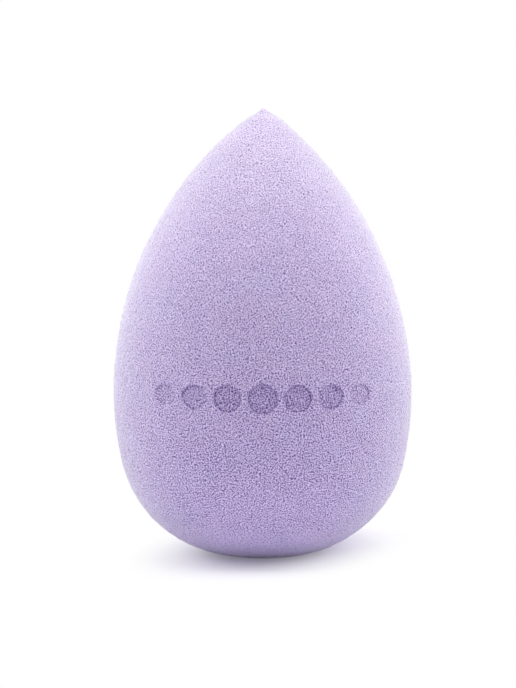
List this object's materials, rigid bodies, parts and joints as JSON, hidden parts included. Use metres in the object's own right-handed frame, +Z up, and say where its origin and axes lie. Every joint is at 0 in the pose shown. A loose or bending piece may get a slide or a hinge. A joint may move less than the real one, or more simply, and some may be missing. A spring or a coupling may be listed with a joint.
{
  "type": "makeup sponge",
  "caption": "Soft teardrop foam sponge for blending make-up, with a round heel to stand on and a blunt point for small places.",
  "frame": {"origin": "middle of the flat foot that the sponge stands on", "axes": "+Z up along the sponge's axis to its tip; the side that the picture shows faces -Y"},
  "size_m": [0.04, 0.04, 0.06],
  "materials": {
    "foam": "matte open-cell foam with a fine soft grain"
  },
  "bodies": {
    "root": {"sponge_body": "foam"}
  },
  "joints": []
}
